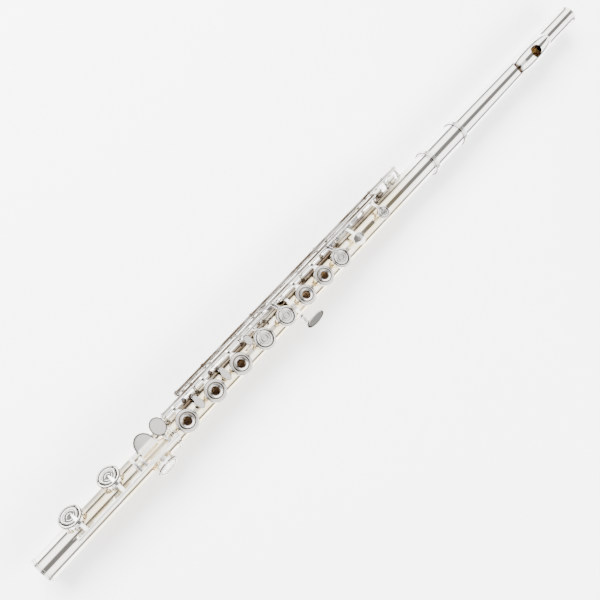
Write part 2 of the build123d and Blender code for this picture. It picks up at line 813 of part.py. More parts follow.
stopper_face = embouchure_x + stopper_distance
cork_start = stopper_face + stopper_plate_thickness
cork_end = cork_start + cork_length
with BuildPart() as stopper_plates:
    shaft(bore_line, crown_bore_radius - 3 * running_gap, stopper_face, cork_start)
    shaft(bore_line, crown_bore_radius - 3 * running_gap, cork_end, cork_end + stopper_plate_thickness)
    shaft(bore_line, stopper_rod_radius, stopper_face, cork_end + 5, Mode.SUBTRACT)
save(stopper_plates, "stopper_plates")

with BuildPart() as stopper_cork:
    shaft(bore_line, crown_bore_radius - running_gap, cork_start, cork_end)
    shaft(bore_line, stopper_rod_radius, cork_start, cork_end, Mode.SUBTRACT)
save(stopper_cork, "stopper_cork")

with BuildPart() as stopper_rod:
    shaft(bore_line, stopper_rod_radius, stopper_face, head_tube_end + stopper_rod_reach)
save(stopper_rod, "stopper_rod")

crown_end = head_tube_end + crown_length
crown_ring_start = crown_end - crown_ring_width - 1.5
with BuildPart() as crown:
    shaft(bore_line, crown_bore_radius - running_gap, head_tube_end - crown_plug_length, head_tube_end)
    with BuildSketch(Plane.XZ) as profile:
        with BuildLine():
            Polyline(
                (head_tube_end + end_gap, 0),
                (head_tube_end + end_gap, crown_tube_radius),
                (crown_ring_start, crown_tube_radius),
            )
            ThreePointArc(
                (crown_ring_start, crown_tube_radius),
                (crown_ring_start + crown_ring_width / 2, crown_tube_radius + crown_ring_height),
                (crown_ring_start + crown_ring_width, crown_tube_radius - 0.2),
            )
            ThreePointArc(
                (crown_ring_start + crown_ring_width, crown_tube_radius - 0.2),
                (crown_end - 0.35, crown_tube_radius * 0.6),
                (crown_end, 2.0),
            )
            Polyline((crown_end, 2.0), (crown_end, 0), (head_tube_end + end_gap, 0))
        make_face()
    revolve(profile.sketch, axis=Axis.X)
    shaft(bore_line, crown_bore_radius - running_gap, head_tube_end - 1, head_tube_end + 1)
    shaft(
        bore_line,
        stopper_rod_radius + running_gap,
        head_tube_end - crown_plug_length,
        head_tube_end + crown_hole_depth,
        Mode.SUBTRACT,
    )
save(crown, "crown")

# ======================= foot joint =======================

foot_hole_radius = foot_cup_radius - hole_inset
foot_holes = (
    (low_c_x, foot_cup_angle),
    (low_c_sharp_x, foot_cup_angle),
    (d_sharp_x, d_sharp_angle),
)
socket_radius = tube_radius + running_gap + socket_wall
foot_tube_end = foot_tenon_start - running_gap
with BuildPart() as foot_tube:
    shaft(bore_line, tube_radius, 0, foot_tube_end)
    shaft(bore_line, socket_radius, foot_tube_end - 0.8, foot_socket_end)
    for x, angle in foot_holes:
        tone_hole(x, angle, foot_hole_radius, tube_radius + rim_height)
    shaft(bore_line, bore_radius, 0, foot_tube_end, Mode.SUBTRACT)
    shaft(bore_line, tube_radius + running_gap, foot_tube_end, foot_socket_end, Mode.SUBTRACT)
    for x, angle in foot_holes:
        drilling(x, angle, foot_hole_radius)
save(foot_tube, "foot_tube")

socket_ring_radius = socket_radius + socket_ring_height
with BuildPart() as foot_rings:
    beads(0, foot_ring_width, 2, tube_radius, foot_ring_height)
    beads(foot_socket_end - socket_ring_width, socket_ring_width, 2, socket_radius, socket_ring_height)
save(foot_rings, "foot_rings")

with BuildPart() as foot_rib:
    strap(27.0, foot_tube_end - 1.0, tube_radius, -11.0, 5.0)
save(foot_rib, "foot_rib")

with BuildPart() as foot_posts:
    for x in foot_post_xs[:3]:
        post(x, foot_rod, rib_radius, rod_radius + running_gap)
    post(foot_post_xs[3], foot_rod, socket_ring_radius, rod_radius)
    needle_springs(foot_springs, foot_rod, spring_drop - 0.4, Mode.SUBTRACT)
save(foot_posts, "foot_posts")

with BuildPart() as foot_spring_wires:
    needle_springs(foot_springs, foot_rod, spring_drop - 0.4)
save(foot_spring_wires, "foot_springs")

with BuildPart() as d_sharp_steel:
    shaft(foot_rod, rod_radius, foot_post_xs[2] + end_gap, foot_post_xs[3] + half_post + 0.4)
save(d_sharp_steel, "foot_rod")

with BuildPart() as foot_pivot_screw:
    pivot_screw(foot_post_xs[0], foot_rod, -1)
save(foot_pivot_screw, "foot_pivot_screw")

foot_arm_height = foot_rod[1] + 0.2
roller_line = (7.2, tube_radius + 3.1)
roller_radius = 1.6
roller_pin_radius = 0.6
roller_start, roller_end = 97.3, 111.6
c_collar_start, c_collar_end = 93.2, foot_post_xs[2] - half_post - end_gap
c_arm_x = 94.9

plane, across, above = key_plane(low_c_x, foot_cup_angle, foot_rod, foot_opening)
with BuildPart() as low_c_key:
    hinge(foot_rod, foot_post_xs[0] + half_post + end_gap, foot_post_xs[1] - half_post - end_gap)
    hinge(foot_rod, c_collar_start, c_collar_end)
    shaft(
        foot_rod,
        rod_radius,
        foot_post_xs[0] - half_post + screw_length + end_gap,
        foot_post_xs[2] - end_gap,
    )
    closed_cup(plane, foot_cup_radius)
    pointed_arm(plane, across, above, foot_cup_radius, 1.4)
    arm(
        radial_plane(c_arm_x, 0.0),
        (
            (foot_rod[0], foot_arm_height, 2.2, 2.0),
            (3.0, foot_arm_height, 2.2, 1.4),
            (roller_line[0] + 0.4, roller_line[1] + 0.2, 2.2, 2.2),
        ),
    )
    shaft(roller_line, roller_pin_radius, c_arm_x, roller_end + 0.6)
save(low_c_key, "low_c_key")
pad("low_c", plane, foot_cup_radius, False)

with BuildPart() as low_c_roller:
    shaft(roller_line, roller_radius, roller_start, roller_end)
    fillet(low_c_roller.edges(), 0.4)
    shaft(roller_line, roller_pin_radius + running_gap, roller_start, roller_end, Mode.SUBTRACT)
save(low_c_roller, "low_c_roller")

c_sharp_arm_x = 89.9
c_sharp_bar = (10.4, roller_line[1])
c_sharp_bar_radius = 0.9
c_sharp_bar_end = 111.4
c_sharp_tube_start = foot_post_xs[1] + half_post + end_gap
c_sharp_tube_end = c_collar_start - end_gap
plane, across, above = key_plane(low_c_sharp_x, foot_cup_angle, foot_rod, foot_opening)
with BuildPart() as low_c_sharp_key:
    hinge(foot_rod, c_sharp_tube_start, c_sharp_tube_end)
    closed_cup(plane, foot_cup_radius)
    pointed_arm(plane, across, above, foot_cup_radius, 0.4)
    arm(
        radial_plane(c_sharp_arm_x, 0.0),
        (
            (foot_rod[0], foot_arm_height, 2.4, 2.0),
            (4.0, foot_arm_height + 0.1, 2.4, 1.4),
            (c_sharp_bar[0] + 0.2, c_sharp_bar[1] + 0.1, 2.4, 1.8),
        ),
    )
    shaft(c_sharp_bar, c_sharp_bar_radius, c_sharp_arm_x - 1.2, c_sharp_bar_end)
    with BuildSketch(Plane.XY.offset(c_sharp_bar[1] - 0.3)) as touch:
        with Locations((103.8, c_sharp_bar[0])):
            Ellipse(7.6, 9.1)
            with Locations((0, -5)):
                Rectangle(20, 10, mode=Mode.SUBTRACT)
    extrude(touch.sketch, amount=c_sharp_bar_radius)
    bush(foot_rod, c_sharp_tube_start, c_sharp_tube_end)
save(low_c_sharp_key, "low_c_sharp_key")
pad("low_c_sharp", plane, foot_cup_radius, False)

d_sharp_arm_x = 117.4
d_sharp_touch = (118.8, 13.0, tube_radius + 3.0)
d_sharp_tube_start = foot_post_xs[2] + half_post + end_gap
d_sharp_tube_end = foot_post_xs[3] - half_post - end_gap
plane, across, above = key_plane(d_sharp_x, d_sharp_angle, foot_rod, 0.0)
with BuildPart() as d_sharp_key:
    hinge(foot_rod, d_sharp_tube_start, d_sharp_tube_end)
    closed_cup(plane, foot_cup_radius)
    pointed_arm(plane, across, above, foot_cup_radius)
    arm(
        radial_plane(d_sharp_arm_x, 0.0),
        (
            (foot_rod[0], foot_arm_height, 2.6, 2.0),
            (3.0, foot_arm_height - 0.2, 2.6, 1.4),
            (8.4, d_sharp_touch[2] + 0.4, 3.4, 1.2),
        ),
    )
    add(plate(Plane(d_sharp_touch), (5.9, 7.0), 1.0))
    bush(foot_rod, d_sharp_tube_start, d_sharp_tube_end)
save(d_sharp_key, "d_sharp_key")
pad("d_sharp", plane, foot_cup_radius, False)
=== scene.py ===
import json
import math

import bmesh
import bpy
import numpy as np
from mathutils import Matrix, Vector


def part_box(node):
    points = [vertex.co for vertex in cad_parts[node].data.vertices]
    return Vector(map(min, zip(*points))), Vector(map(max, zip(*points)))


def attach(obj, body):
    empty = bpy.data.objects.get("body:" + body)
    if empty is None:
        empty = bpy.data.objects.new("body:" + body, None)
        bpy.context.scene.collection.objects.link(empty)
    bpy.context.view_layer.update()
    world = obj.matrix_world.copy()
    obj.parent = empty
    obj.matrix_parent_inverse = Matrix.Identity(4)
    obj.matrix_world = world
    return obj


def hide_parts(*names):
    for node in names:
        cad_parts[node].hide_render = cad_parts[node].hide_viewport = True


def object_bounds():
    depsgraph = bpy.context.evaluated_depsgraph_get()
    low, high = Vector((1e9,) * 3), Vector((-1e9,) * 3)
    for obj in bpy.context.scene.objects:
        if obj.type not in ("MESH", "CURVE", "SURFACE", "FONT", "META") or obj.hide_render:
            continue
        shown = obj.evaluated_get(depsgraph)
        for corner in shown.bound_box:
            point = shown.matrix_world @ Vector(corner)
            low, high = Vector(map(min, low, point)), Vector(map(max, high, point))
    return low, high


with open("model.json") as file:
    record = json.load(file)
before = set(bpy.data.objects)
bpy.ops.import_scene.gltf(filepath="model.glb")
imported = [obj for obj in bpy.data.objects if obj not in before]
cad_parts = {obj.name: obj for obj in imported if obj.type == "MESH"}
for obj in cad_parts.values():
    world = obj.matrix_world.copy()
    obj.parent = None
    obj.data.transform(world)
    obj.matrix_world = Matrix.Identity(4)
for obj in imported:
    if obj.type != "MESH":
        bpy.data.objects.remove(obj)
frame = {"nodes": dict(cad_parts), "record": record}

# A silver-plated concert flute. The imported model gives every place: +X runs from the foot to the
# crown, +Z is the side of the main keys, +Y is the player's side. Metres throughout.
cad_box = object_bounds()

MM = 0.001
record = frame["record"]
bore_radius = record["mounts"][0]["dims"]["r_mm"] * MM
tube_wall = 0.4 * MM
tube_radius = bore_radius + tube_wall
round_steps = 160           # facets round a turned piece
crisp_angle = 32.0          # degrees past which two faces meet at a crisp edge
narrowest_bore = 8.6 * MM   # the head's bore at the crown


def middle_of(node):
    """The middle of a straight rod, across the flute: (y, z)."""
    low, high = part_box(node)
    return (low.y + high.y) / 2, (low.z + high.z) / 2


main_rod_y, main_rod_z = middle_of("main_rod")
trill_rod_y, trill_rod_z = middle_of("trill_pivot_screws")
main_rod_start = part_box("main_rod")[0].x


# ---------------------------------------------------------------- finishes

def nodes_of(material):
    """An empty node tree with its shader and output joined."""
    material.use_nodes = True
    tree = material.node_tree
    tree.nodes.clear()
    output = tree.nodes.new("ShaderNodeOutputMaterial")
    shader = tree.nodes.new("ShaderNodeBsdfPrincipled")
    tree.links.new(shader.outputs["BSDF"], output.inputs["Surface"])
    return tree, shader


def noise(tree, coordinates, scale, detail=3.0, roughness=0.5):
    """Cloudy noise over the piece's own coordinates, scale in features per metre."""
    node = tree.nodes.new("ShaderNodeTexNoise")
    node.inputs["Scale"].default_value = scale
    node.inputs["Detail"].default_value = detail
    node.inputs["Roughness"].default_value = roughness
    tree.links.new(coordinates, node.inputs["Vector"])
    return node.outputs["Fac"]


def ranged(tree, value, low, high, to_low, to_high):
    """Carries a value from one range to another, smoothly and without passing its ends."""
    node = tree.nodes.new("ShaderNodeMapRange")
    node.interpolation_type = "SMOOTHSTEP"
    node.inputs["From Min"].default_value = low
    node.inputs["From Max"].default_value = high
    node.inputs["To Min"].default_value = to_low
    node.inputs["To Max"].default_value = to_high
    tree.links.new(value, node.inputs["Value"])
    return node.outputs["Result"]


def maths(tree, operation, first, second):
    """One sum on two values, each a socket or a number."""
    node = tree.nodes.new("ShaderNodeMath")
    node.operation = operation
    for place, value in zip(node.inputs, (first, second)):
        if isinstance(value, (int, float)):
            place.default_value = value
        else:
            tree.links.new(value, place)
    return node.outputs[0]


def blended(tree, factor, first, second):
    """Mixes two colours by a factor socket."""
    node = tree.nodes.new("ShaderNodeMix")
    node.data_type = "RGBA"
    tree.links.new(factor, node.inputs["Factor"])
    node.inputs[6].default_value = (*first, 1)
    node.inputs[7].default_value = (*second, 1)
    return node.outputs[2]


def mixed(tree, factor, first, second):
    """Mixes two colour sockets by a factor socket."""
    node = tree.nodes.new("ShaderNodeMix")
    node.data_type = "RGBA"
    tree.links.new(factor, node.inputs["Factor"])
    tree.links.new(first, node.inputs[6])
    tree.links.new(second, node.inputs[7])
    return node.outputs[2]


def bumped(tree, shader, height, distance, strength):
    """Raises the surface by a height socket."""
    node = tree.nodes.new("ShaderNodeBump")
    node.inputs["Distance"].default_value = distance
    node.inputs["Strength"].default_value = strength
    tree.links.new(height, node.inputs["Height"])
    tree.links.new(node.outputs["Normal"], shader.inputs["Normal"])


def length_of(tree, first, second):
    """The square root of the sum of two squares."""
    squares = maths(tree, "ADD", maths(tree, "MULTIPLY", first, first),
                    maths(tree, "MULTIPLY", second, second))
    return maths(tree, "SQRT", squares, 0.0)


def painted_tube_shade(tree, x, y, from_axis):
    """How much painted shade darkens the tube on the rods' side: all along it a little, and beside the
    rods more.
    """
    beside_rods = ranged(tree, x, 0.118, 0.14, 0.0, 1.0)
    side = maths(tree, "MAXIMUM", ranged(tree, y, 4.0 * MM, 11.0 * MM, 0.0, 1.0),
                 maths(tree, "MULTIPLY", beside_rods, ranged(tree, y, 4.6 * MM, 7.2 * MM, 0.0, 1.0)))
    return maths(tree, "MULTIPLY", side, ranged(tree, from_axis, 12.5 * MM, 14.0 * MM, 1.0, 0.0))


def near(tree, value, middle, low, high, to_low, to_high):
    """A smooth step between two distances from a middle, in mm."""
    return ranged(tree, value, middle + low * MM, middle + high * MM, to_low, to_high)


def painted_rod_shade(tree, x, y, z):
    """How much painted shade darkens the hinge tubes on both sides of the main rod and the trill rod."""
    main_outer = maths(tree, "MULTIPLY", near(tree, y, main_rod_y, -0.1, 0.6, 0.0, 1.0),
                       near(tree, z, main_rod_z, -3.5, -1.5, 0.0, 1.0))
    main_inner = maths(tree, "MULTIPLY", near(tree, y, main_rod_y, -2.4, -2.0, 0.0, 0.9),
                       near(tree, y, main_rod_y, -1.3, -0.8, 1.0, 0.0))
    trill_outer = near(tree, y, trill_rod_y, -0.3, 0.4, 0.0, 1.0)
    trill_inner = maths(tree, "MULTIPLY", near(tree, y, trill_rod_y, -2.1, -1.8, 0.0, 0.9),
                        near(tree, z, trill_rod_z, 2.5, 4.0, 1.0, 0.0))
    trill_inner = maths(tree, "MULTIPLY", trill_inner, near(tree, y, trill_rod_y, -1.3, -0.9, 1.0, 0.0))
    inner = maths(tree, "MAXIMUM", main_inner, trill_inner)
    sides = maths(tree, "MAXIMUM", inner, maths(tree, "MAXIMUM", main_outer, trill_outer))
    return maths(tree, "MULTIPLY", sides, near(tree, x, main_rod_start, 0.5, 2.5, 0.0, 1.0))


def silver_plate(name, gloss=0.07, tarnish_and_warm_shade=0.8, wave=0.35, grooves=None, painted_shade_attribute=None,
                 outlines=()):
    """Polished silver plate, with fine wipe marks, a pale gold on the tube between the keys that is partly
    tarnished silver and partly painted warm shade, and painted shade in dark brown under the rods and
    along their sides. A point attribute, named by an argument, holds how much painted shade lies on a
    turned ring or a plate's edge, grooves are the rings turned in a cup, and outlines are the oval touches
    with a painted shade line at their edge."""
    material = bpy.data.materials.new(name)
    tree, shader = nodes_of(material)
    shader.inputs["Metallic"].default_value = 1.0
    place = tree.nodes.new("ShaderNodeTexCoord").outputs["Object"]
    split = tree.nodes.new("ShaderNodeSeparateXYZ")
    tree.links.new(place, split.inputs[0])
    x, y, z = split.outputs
    from_axis = length_of(tree, y, z)
    along = maths(tree, "MULTIPLY", ranged(tree, x, 0.022, 0.05, 0.1, 1.0),
                  ranged(tree, x, 0.37, 0.43, 1.0, 0.0))
    cloud = ranged(tree, noise(tree, place, 85.0, 4.0), 0.3, 0.62, 0.45, 1.0)
    # Pale gold near the tube's wall between the keys: partly tarnished silver, partly painted warm shade.
    top = maths(tree, "MULTIPLY", maths(tree, "MULTIPLY", along, cloud),
                ranged(tree, from_axis, 10.4 * MM, 14.5 * MM, tarnish_and_warm_shade, 0.0))
    # Painted shade, in dark brown: on the tube on the rods' side and on the hinge tubes beside the rods,
    # clouded by noise.
    shade_cloud = maths(tree, "MULTIPLY", along, ranged(tree, noise(tree, place, 60.0, 4.0), 0.3, 0.6, 0.72, 1.0))
    painted_shade_mask = maths(tree, "MAXIMUM", painted_tube_shade(tree, x, y, from_axis), painted_rod_shade(tree, x, y, z))
    under = maths(tree, "MULTIPLY", shade_cloud, painted_shade_mask)
    gold = blended(tree, top, (0.962, 0.950, 0.928), (0.82, 0.68, 0.42))
    # The colour of all the painted shade.
    brown = tree.nodes.new("ShaderNodeRGB")
    brown.outputs[0].default_value = (0.060, 0.042, 0.027, 1)
    painted_shade_total = under
    relief = noise(tree, place, 150.0, 2.0)
    if grooves:
        # Painted shade in the turned grooves, which also sink the bump.
        groove = turned_grooves(tree, grooves)
        painted_shade_total = maths(tree, "MAXIMUM", under, maths(tree, "MULTIPLY", groove, 0.97))
        relief = maths(tree, "SUBTRACT", maths(tree, "MULTIPLY", relief, 0.12), groove)
    # Painted shade from a point attribute: low between the beads and at the lip plate's foot-side end.
    if painted_shade_attribute:
        painted_shade_node = tree.nodes.new("ShaderNodeAttribute")
        painted_shade_node.attribute_name = painted_shade_attribute
        painted_shade_total = maths(tree, "MAXIMUM", painted_shade_total, painted_shade_node.outputs["Fac"])
    # Painted shade lines at the edges of the oval touches.
    for outline in outlines:
        painted_shade_total = maths(tree, "MAXIMUM", painted_shade_total, painted_edge_line(tree, x, y, *outline))
    tree.links.new(mixed(tree, painted_shade_total, gold, brown.outputs[0]), shader.inputs["Base Color"])
    marks = noise(tree, place, 420.0, 5.0, 0.6)
    dulled = maths(tree, "ADD", ranged(tree, marks, 0.35, 0.7, gloss * 0.7, gloss * 1.5),
                   maths(tree, "MULTIPLY", under, 0.10))
    tree.links.new(dulled, shader.inputs["Roughness"])
    bumped(tree, shader, relief, (0.15 if grooves else 0.02) * MM, 0.6 if grooves else wave)
    return material


def painted_edge_line(tree, x, y, middle_x, middle_y, half_length, half_width):
    """A painted shade line inside the edge of an oval touch, seen from above; places and sizes in mm.
    It lies where ((x - mx) / a)^2 + ((y - my) / b)^2 nears 1."""
    share_x = maths(tree, "DIVIDE", maths(tree, "SUBTRACT", x, middle_x * MM), half_length * MM)
    share_y = maths(tree, "DIVIDE", maths(tree, "SUBTRACT", y, middle_y * MM), half_width * MM)
    reach = maths(tree, "ADD", maths(tree, "MULTIPLY", share_x, share_x),
                  maths(tree, "MULTIPLY", share_y, share_y))
    return maths(tree, "MULTIPLY", ranged(tree, reach, 0.66, 0.84, 0.0, 0.9),
                 ranged(tree, reach, 1.1, 1.2, 1.0, 0.0))


def turned_grooves(tree, grooves):
    """Fine rings turned in a cup's top, darkened with painted shade. grooves are radii as shares of the
    cup's own. The cup_place attribute holds height above the pad in mm, and across as such shares."""
    place = tree.nodes.new("ShaderNodeAttribute")
    place.attribute_name = "cup_place"
    split = tree.nodes.new("ShaderNodeSeparateXYZ")
    tree.links.new(place.outputs["Vector"], split.inputs[0])
    height, across, along = split.outputs
    reach = length_of(tree, across, along)
    deepest = None
    for radius, half_width, depth in grooves:
        off = maths(tree, "ABSOLUTE", maths(tree, "SUBTRACT", reach, radius), 0.0)
        ring = ranged(tree, off, half_width * 0.2, half_width, depth, 0.0)
        deepest = ring if deepest is None else maths(tree, "MAXIMUM", deepest, ring)
    on_top = maths(tree, "MULTIPLY", ranged(tree, height, 0.9, 1.3, 0.0, 1.0),
                   ranged(tree, height, 2.3, 2.45, 1.0, 0.0))
    return maths(tree, "MULTIPLY", deepest, on_top)


def breathed_bore(name):
    """The inside of the bore: silver dulled brown by breath, in streaks along the tube."""
    material = bpy.data.materials.new(name)
    tree, shader = nodes_of(material)
    shader.inputs["Metallic"].default_value = 1.0
    place = tree.nodes.new("ShaderNodeTexCoord").outputs["Object"]
    stretch = tree.nodes.new("ShaderNodeMapping")
    stretch.inputs["Scale"].default_value = (30.0, 500.0, 500.0)
    tree.links.new(place, stretch.inputs["Vector"])
    streaks = noise(tree, stretch.outputs["Vector"], 1.0, 4.0)
    tree.links.new(blended(tree, streaks, (0.42, 0.29, 0.20), (0.66, 0.52, 0.40)),
                   shader.inputs["Base Color"])
    tree.links.new(ranged(tree, streaks, 0.3, 0.7, 0.28, 0.45), shader.inputs["Roughness"])
    bumped(tree, shader, streaks, 0.02 * MM, 0.4)
    return material


def ground_steel(name, colour, gloss):
    """Ground steel with fine lines along its length."""
    material = bpy.data.materials.new(name)
    tree, shader = nodes_of(material)
    shader.inputs["Metallic"].default_value = 1.0
    place = tree.nodes.new("ShaderNodeTexCoord").outputs["Object"]
    stretch = tree.nodes.new("ShaderNodeMapping")
    stretch.inputs["Scale"].default_value = (40.0, 2600.0, 2600.0)
    tree.links.new(place, stretch.inputs["Vector"])
    lines = noise(tree, stretch.outputs["Vector"], 1.0, 3.0)
    tree.links.new(blended(tree, lines, tuple(c * 0.82 for c in colour), colour),
                   shader.inputs["Base Color"])
    tree.links.new(ranged(tree, lines, 0.3, 0.7, gloss * 0.7, gloss * 1.4), shader.inputs["Roughness"])
    bumped(tree, shader, lines, 0.01 * MM, 0.5)
    return material


def soft_finish(name, low, high, scale, roughness, relief, sheen=0.0):
    """Felt under its skin, or cork: mottled between two colours, with a fine relief."""
    material = bpy.data.materials.new(name)
    tree, shader = nodes_of(material)
    place = tree.nodes.new("ShaderNodeTexCoord").outputs["Object"]
    mottle = noise(tree, place, scale, 5.0, 0.65)
    grain = noise(tree, place, scale * 9.0, 3.0)
    tree.links.new(blended(tree, ranged(tree, mottle, 0.32, 0.68, 0.0, 1.0), low, high),
                   shader.inputs["Base Color"])
    tree.links.new(ranged(tree, grain, 0.3, 0.7, roughness * 0.85, roughness), shader.inputs["Roughness"])
    shader.inputs["Sheen Weight"].default_value = sheen
    bumped(tree, shader, grain, relief, 0.6)
    return material


# Oval touches that get a painted shade line at their edge: (middle x, middle y, half length, half width)
# in mm.
touch_edges = ((103.8, 10.5, 7.6, 9.1), (118.8, 13.0, 5.9, 7.0), (151.0, 4.2, 3.0, 6.6),
               (179.0, 4.2, 3.0, 6.6), (261.5, -18.5, 9.0, 3.8))
shake_edge = (208.6, 9.0, 2.9, 4.4)
tube_silver = silver_plate("drawn_tube_silver", gloss=0.055, tarnish_and_warm_shade=0.85, wave=0.22)
key_silver = silver_plate("polished_key_silver", gloss=0.065, tarnish_and_warm_shade=0.7, wave=0.3)
plain_cup_silver = silver_plate("plain_cup_silver", gloss=0.06, tarnish_and_warm_shade=0.7, wave=0.3, grooves=(
    (0.30, 0.08, 0.6), (0.52, 0.06, 0.5), (0.78, 0.11, 1.0), (1.0, 0.08, 1.0)), outlines=touch_edges)
trill_silver = silver_plate("trill_key_silver", gloss=0.06, tarnish_and_warm_shade=0.7, wave=0.3, outlines=touch_edges)
shake_silver = silver_plate("shake_touch_silver", gloss=0.065, tarnish_and_warm_shade=0.7, wave=0.3,
                            outlines=(shake_edge,))
open_cup_silver = silver_plate("open_cup_silver", gloss=0.06, tarnish_and_warm_shade=0.7, wave=0.3, grooves=(
    (0.42, 0.07, 0.9), (0.69, 0.11, 1.0), (0.88, 0.05, 0.6), (1.0, 0.08, 1.0)))
turned_silver = silver_plate("turned_ring_silver", gloss=0.075, tarnish_and_warm_shade=0.5, wave=0.2,
                             painted_shade_attribute="painted_shade_attribute")
lip_silver = silver_plate("lip_plate_silver", gloss=0.055, tarnish_and_warm_shade=0.5, wave=0.2, painted_shade_attribute="painted_shade_attribute")
bore_silver = breathed_bore("breathed_bore_silver")
steel = ground_steel("ground_rod_steel", (0.72, 0.72, 0.73), 0.16)
blued_steel = ground_steel("blued_spring_steel", (0.10, 0.13, 0.24), 0.22)
brass = ground_steel("turned_brass", (0.80, 0.60, 0.28), 0.2)
pad_skin = soft_finish("pad_skin", (0.78, 0.66, 0.44), (0.88, 0.80, 0.62), 260.0, 0.62, 0.03 * MM, 0.2)
cork_grain = soft_finish("natural_cork", (0.33, 0.19, 0.09), (0.62, 0.43, 0.25), 520.0, 0.9, 0.08 * MM)


# ---------------------------------------------------------------- surfaces

def piece_from(name, points, faces, material, smooth=True):
    """A mesh object at the origin from an array of points and a list of faces."""
    mesh = bpy.data.meshes.new(name)
    mesh.from_pydata(np.asarray(points).reshape(-1, 3).tolist(), [], faces)
    mesh.update()
    mesh.shade_smooth() if smooth else mesh.shade_flat()
    mesh.materials.append(material)
    piece = bpy.data.objects.new(name, mesh)
    bpy.context.scene.collection.objects.link(piece)
    return piece


def grid_faces(rows, columns, wrap_rows=False, wrap_columns=False):
    """The four-sided faces of a grid of points, row by row, closed on itself where asked."""
    row = np.arange(rows if wrap_rows else rows - 1)
    column = np.arange(columns if wrap_columns else columns - 1)
    row, column = np.meshgrid(row, column, indexing="ij")
    next_row, next_column = (row + 1) % rows, (column + 1) % columns
    corners = (row * columns + column, row * columns + next_column,
               next_row * columns + next_column, next_row * columns + column)
    return np.stack([corner.ravel() for corner in corners], axis=1).tolist()


def lathe(name, outline, material):
    """Carries a closed outline of (x, radius) round the X axis: y = r sin(a), z = r cos(a).
    A point on the axis is one point after the doubles are merged."""
    outline = np.asarray(outline)
    turn = np.arange(round_steps) * 2 * np.pi / round_steps
    x = np.repeat(outline[:, :1], round_steps, axis=1)
    y = outline[:, 1:] * np.sin(turn)
    z = outline[:, 1:] * np.cos(turn)
    points = np.stack([x, y, z], axis=2)
    piece = piece_from(name, points, grid_faces(len(outline), round_steps, True, True), material)
    mended(piece.data)
    edges_by_angle(piece.data, 35.0)
    return piece


def mended(mesh, reach=1e-6):
    """Merges doubles, drops faces with no area and turns the faces outwards."""
    shape = bmesh.new()
    shape.from_mesh(mesh)
    bmesh.ops.remove_doubles(shape, verts=shape.verts, dist=reach)
    bmesh.ops.dissolve_degenerate(shape, edges=shape.edges, dist=reach * 0.1)
    bmesh.ops.recalc_face_normals(shape, faces=shape.faces)
    shape.to_mesh(mesh)
    shape.free()
    mesh.update()


def edges_by_angle(mesh, limit):
    """Keeps an edge crisp where its two faces meet at more than the limit, in degrees."""
    shape = bmesh.new()
    shape.from_mesh(mesh)
    for edge in shape.edges:
        edge.smooth = not (len(edge.link_faces) == 2 and edge.calc_face_angle(0.0) > math.radians(limit))
    for face in shape.faces:
        face.smooth = True
    shape.to_mesh(mesh)
    shape.free()


def weighted(piece):
    """Lets the large faces of a piece rule the shading of its rounded edges."""
    modifier = piece.modifiers.new("weighted", "WEIGHTED_NORMAL")
    modifier.keep_sharp = True
    modifier.weight = 60


def finish_piece(piece, body, slot, *replaced):
    """Puts a piece on its body and hides the nodes it stands for. The slot is not used."""
    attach(piece, body)
    if replaced:
        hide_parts(*replaced)


def polished(node, body, material, slot):
    """A welded copy of a CAD node with smooth shading, crisp only where its faces meet sharply."""
    source = frame["nodes"][node]
    mesh = source.data.copy()
    mesh.name = node + "_polished"
    mesh.materials.clear()
    mesh.materials.append(material)
    shape = bmesh.new()
    shape.from_mesh(mesh)
    bmesh.ops.remove_doubles(shape, verts=shape.verts, dist=2e-6)
    bmesh.ops.dissolve_limit(shape, angle_limit=math.radians(0.2), verts=shape.verts,
                             edges=shape.edges, delimit={"SHARP"})
    shape.to_mesh(mesh)
    shape.free()
    edges_by_angle(mesh, crisp_angle)
    piece = bpy.data.objects.new(node + "_polished", mesh)
    bpy.context.scene.collection.objects.link(piece)
    if node in tubes:
        true_round(mesh)
        finish_piece(piece, body, slot, node)
        return piece
    weighted(piece)
    finish_piece(piece, body, slot, node)
    return piece


def body_of_node(node):
    """The CAD body that holds a node."""
    bodies = record["behaviour"]["bodies"]
    return next(body for body, members in bodies.items() if node in members)


def true_round(mesh, axis_slack=0.04 * MM):
    """Gives the walls of a tube on the X axis the exact normals of a turned surface.
    The normal at a point is (0, y, z) / r outside and its opposite in the bore."""
    count = len(mesh.loops)
    corner = np.empty(count, dtype=np.int32)
    mesh.loops.foreach_get("vertex_index", corner)
    place = np.empty(len(mesh.vertices) * 3)
    mesh.vertices.foreach_get("co", place)
    place = place.reshape(-1, 3)[corner]
    normal = np.empty(count * 3)
    mesh.corner_normals.foreach_get("vector", normal)
    normal = normal.reshape(-1, 3)
    face_normal = np.empty(len(mesh.polygons) * 3)
    mesh.polygons.foreach_get("normal", face_normal)
    sides = np.empty(len(mesh.polygons), dtype=np.int32)
    mesh.polygons.foreach_get("loop_total", sides)
    face_normal = np.repeat(face_normal.reshape(-1, 3), sides, axis=0)
    radial = place * (0, 1, 1)
    reach = np.linalg.norm(radial, axis=1, keepdims=True)
    radial = radial / np.maximum(reach, 1e-9)
    facing = np.sum(face_normal * radial, axis=1)
    widest, narrowest = tube_radius + axis_slack, narrowest_bore - axis_slack
    on_wall = (np.abs(facing) > 0.985) & (reach[:, 0] < widest) & (reach[:, 0] > narrowest)
    normal[on_wall] = radial[on_wall] * np.sign(facing[on_wall])[:, None]
    inward = facing[np.cumsum(sides) - sides] < -0.9
    mesh.materials.append(bore_silver)
    mesh.polygons.foreach_set("material_index", inward.astype(np.int32))
    mesh.normals_split_custom_set(normal.tolist())


